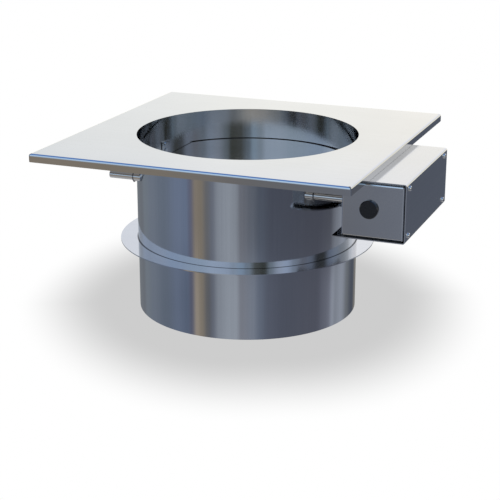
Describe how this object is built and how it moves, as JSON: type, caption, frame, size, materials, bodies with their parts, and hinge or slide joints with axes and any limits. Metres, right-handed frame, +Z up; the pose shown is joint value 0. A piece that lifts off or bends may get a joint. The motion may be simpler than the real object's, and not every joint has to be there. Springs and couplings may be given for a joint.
{
  "type": "motorised chimney top damper",
  "caption": "Square folded top plate on a round flue spigot with a stop ring, a damper blade on a cross shaft in front of its middle, and a drive box under one edge.",
  "frame": {"origin": "on the flue axis, in the plane of the stop ring's underside, where the damper rests on the chimney top", "axes": "+Z up out of the chimney; +X towards the drive box, along the blade's shaft, which lies on the -Y side of the flue axis"},
  "size_m": [0.5574, 0.5, 0.2815],
  "materials": {
    "plate_steel": "cold rolled stainless sheet, smooth 2B",
    "tube_steel": "bright annealed stainless tube, near mirror",
    "ring_steel": "cut stainless ring",
    "blade_steel": "bright annealed stainless sheet",
    "box_steel": "stainless sheet, folded",
    "cover_steel": "stainless sheet, folded",
    "turned_steel": "turned stainless",
    "zinc_steel": "bright zinc plated",
    "fastener_steel": "stainless fasteners",
    "spring_steel": "blackened spring steel",
    "nylon": "natural nylon",
    "seal_foam": "closed cell foam",
    "black_plastic": "moulded black nylon",
    "actuator_plastic": "moulded housing",
    "pointer_plastic": "moulded",
    "button_plastic": "moulded"
  },
  "bodies": {
    "housing": {"top_plate": "plate_steel", "flue_tube": "tube_steel", "stop_ring": "ring_steel", "left_bush": "turned_steel", "right_bush": "turned_steel", "box_bush": "nylon", "left_seat_plate": "blade_steel", "right_seat_plate": "blade_steel", "seat_rivets": "fastener_steel", "drive_bracket": "box_steel", "bracket_bolts": "fastener_steel", "bracket_nuts": "fastener_steel", "box_body": "box_steel", "box_cover": "cover_steel", "cover_seal": "seal_foam", "cover_screws": "fastener_steel", "screw_clips": "spring_steel", "blind_plug": "black_plastic", "plug_nut": "black_plastic", "actuator_body": "actuator_plastic", "holding_strap": "zinc_steel", "strap_screws": "fastener_steel"},
    "blade": {"damper_blade": "blade_steel", "blade_shaft": "turned_steel", "shaft_clamps": "zinc_steel", "clamp_pads": "zinc_steel", "clamp_screws": "fastener_steel", "clamp_nuts": "fastener_steel", "shaft_clips": "spring_steel", "actuator_hub": "turned_steel", "hub_clamp": "zinc_steel", "clamp_bolt_nuts": "fastener_steel", "position_pointer": "pointer_plastic"},
    "button": {"release_button": "button_plastic"}
  },
  "joints": [
    {"name": "blade_turn", "type": "hinge", "parent": "housing", "child": "blade", "pos_m": [0, -0.105, 0.1085], "axis": [-1, 0, 0], "range_deg": [0, 90]},
    {"name": "button_press", "type": "slide", "parent": "housing", "child": "button", "axis": [-1, 0, 0], "range_m": [0, 0.004], "stiffness_N_per_m": 400}
  ]
}
